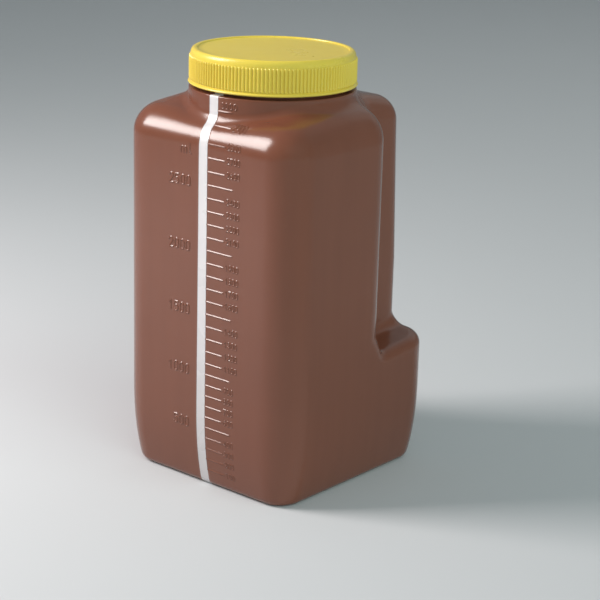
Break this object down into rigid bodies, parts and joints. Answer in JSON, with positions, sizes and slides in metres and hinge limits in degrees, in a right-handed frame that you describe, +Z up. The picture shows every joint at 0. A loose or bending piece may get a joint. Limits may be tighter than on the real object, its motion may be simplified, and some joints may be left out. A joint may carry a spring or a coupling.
{
  "type": "urine collection bottle",
  "caption": "Square brown plastic urine collection bottle with a recessed back grip, a white sight strip and a yellow ribbed screw cap.",
  "frame": {"origin": "middle of the base, on the surface that the bottle stands on", "axes": "+Z up through the bottle; -Y the front face with the sight strip; +Y the back with the hand grip; +X the bottle's side on the viewer's right when the viewer faces the front"},
  "size_m": [0.128, 0.1324, 0.2447],
  "materials": {
    "bottle_plastic": "satin blow-moulded polyethylene, reddish brown, faint light scatter",
    "strip_plastic": "satin natural polyethylene, milky white and slightly see-through",
    "cap_plastic": "satin injection-moulded polyethylene, yellow",
    "liner_foam": "matt closed-cell foam with a smooth skin, white"
  },
  "bodies": {
    "bottle": {"bottle": "bottle_plastic", "sight_strip": "strip_plastic"},
    "liner": {"cap_liner": "liner_foam"},
    "cap": {"screw_cap": "cap_plastic"}
  },
  "joints": [
    {"name": "cap_rise", "type": "slide", "parent": "bottle", "child": "liner", "axis": [0, 0, 1], "range_m": [0, 0.0211]},
    {"name": "cap_turn", "type": "hinge", "parent": "liner", "child": "cap", "pos_m": [0, -0.0093, 0.235], "axis": [0, 0, 1], "range_deg": [0, 1260]}
  ],
  "couplings": [
    {"joint": "cap_rise", "follows": "cap_turn", "m_per_rad": 0.00095493}
  ]
}
